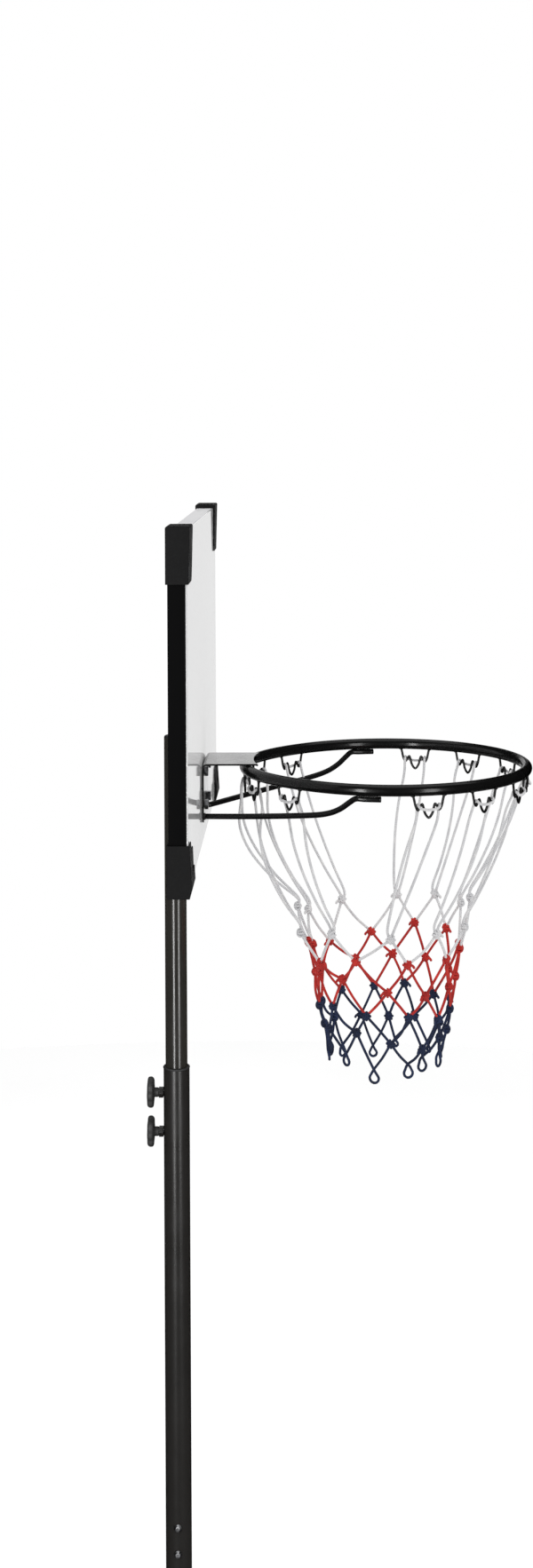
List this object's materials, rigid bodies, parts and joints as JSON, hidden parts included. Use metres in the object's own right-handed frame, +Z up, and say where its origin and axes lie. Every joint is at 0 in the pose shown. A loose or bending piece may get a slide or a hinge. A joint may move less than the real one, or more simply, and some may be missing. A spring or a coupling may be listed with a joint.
{
  "type": "basketball stand",
  "caption": "Free-standing basketball stand: ballast tank on wheels, telescopic pole with clamp screws, framed board, round ring on a braced bracket and a knotted net hung from wire hooks.",
  "frame": {"origin": "on the floor, on the underside of the ballast tank, under the pole's axis", "axes": "+X from the board towards the ring, +Y to the left of someone facing that way, +Z up"},
  "size_m": [1.208, 0.715, 2.1615],
  "materials": {
    "black_plastic": "fine grained black",
    "wheel_plastic": "dark grey",
    "knob_plastic": "dark grey",
    "cap_plastic": "charcoal",
    "pale_plastic": "light grey",
    "white_gloss": "glossy, pale",
    "black_gloss": "gloss black powder coat",
    "black_satin": "satin black powder coat",
    "zinc": "bright zinc plate",
    "rubber": "black",
    "white_cord": "braided cord, white",
    "red_cord": "braided cord, red",
    "blue_cord": "braided cord, dark blue"
  },
  "bodies": {
    "stand": {"base_tank": "black_plastic", "wheel_axle": "zinc", "axle_cap_left": "zinc", "axle_cap_right": "zinc", "lower_pole": "black_satin", "outer_pole": "black_satin", "pole_collar": "black_plastic", "joint_bolt_upper": "zinc", "joint_bolt_lower": "zinc", "joint_nut_upper": "zinc", "joint_nut_lower": "zinc", "brace_left": "black_satin", "brace_right": "black_satin", "brace_pole_bolt": "zinc", "brace_pole_nut": "zinc", "brace_foot_bolt_left": "zinc", "brace_foot_bolt_right": "zinc", "clamp_nut_upper": "black_satin", "clamp_nut_lower": "black_satin"},
    "mast": {"inner_pole": "black_gloss", "pole_top_plug": "black_plastic", "pole_guide_foot": "black_plastic", "mast_angle_left": "black_gloss", "mast_angle_right": "black_gloss", "board_sheet": "white_gloss", "side_rail_left": "black_plastic", "side_rail_right": "black_plastic", "top_rail": "pale_plastic", "bottom_rail": "pale_plastic", "corner_cap_top_left": "cap_plastic", "corner_cap_top_right": "cap_plastic", "corner_cap_bottom_left": "cap_plastic", "corner_cap_bottom_right": "cap_plastic", "ring_bracket": "black_gloss", "bracket_bolt_upper_left": "zinc", "bracket_bolt_upper_right": "zinc", "bracket_bolt_lower_left": "zinc", "bracket_bolt_lower_right": "zinc", "bracket_nut_upper_left": "zinc", "bracket_nut_upper_right": "zinc", "bracket_nut_lower_left": "zinc", "bracket_nut_lower_right": "zinc", "support_rod_left": "black_gloss", "support_rod_right": "black_gloss", "ring": "black_gloss", "net_white_cord": "white_cord", "net_red_cord": "red_cord", "net_blue_cord": "blue_cord"},
    "clamp_upper_screw": {"clamp_stud_upper": "zinc"},
    "clamp_upper_grip": {"clamp_knob_upper": "knob_plastic"},
    "clamp_lower_screw": {"clamp_stud_lower": "zinc"},
    "clamp_lower_grip": {"clamp_knob_lower": "knob_plastic"},
    "filler_lift": {"filler_seal": "rubber"},
    "filler_lid": {"filler_cap": "black_plastic"},
    "left_wheel": {"wheel_left": "wheel_plastic"},
    "right_wheel": {"wheel_right": "wheel_plastic"}
  },
  "joints": [
    {"name": "mast_slide", "type": "slide", "parent": "stand", "child": "mast", "axis": [0, 0, 1], "range_m": [0, 0.34]},
    {"name": "clamp_upper_travel", "type": "slide", "parent": "stand", "child": "clamp_upper_screw", "axis": [-1, 0, 0], "range_m": [0, 0.0038]},
    {"name": "clamp_upper_turn", "type": "hinge", "parent": "clamp_upper_screw", "child": "clamp_upper_grip", "pos_m": [-0.037, 0, 1.316], "axis": [-1, 0, 0], "range_deg": [0, 1080]},
    {"name": "clamp_lower_travel", "type": "slide", "parent": "stand", "child": "clamp_lower_screw", "axis": [-1, 0, 0], "range_m": [0, 0.0038]},
    {"name": "clamp_lower_turn", "type": "hinge", "parent": "clamp_lower_screw", "child": "clamp_lower_grip", "pos_m": [-0.037, 0, 1.259], "axis": [-1, 0, 0], "range_deg": [0, 1080]},
    {"name": "filler_travel", "type": "slide", "parent": "stand", "child": "filler_lift", "axis": [0, 0, 1], "range_m": [0, 0.01205]},
    {"name": "filler_turn", "type": "hinge", "parent": "filler_lift", "child": "filler_lid", "pos_m": [-0.59, 0, 0.149], "axis": [0, 0, 1], "range_deg": [0, 1080]},
    {"name": "left_wheel_spin", "type": "hinge", "parent": "stand", "child": "left_wheel", "pos_m": [0.062, 0.262, 0.047], "axis": [0, 1, 0], "continuous": true},
    {"name": "right_wheel_spin", "type": "hinge", "parent": "stand", "child": "right_wheel", "pos_m": [0.062, -0.262, 0.047], "axis": [0, 1, 0], "continuous": true}
  ],
  "couplings": [
    {"joint": "clamp_upper_travel", "follows": "clamp_upper_turn", "m_per_rad": 0.00019894},
    {"joint": "clamp_lower_travel", "follows": "clamp_lower_turn", "m_per_rad": 0.00019894},
    {"joint": "filler_travel", "follows": "filler_turn", "m_per_rad": 0.00063662}
  ]
}
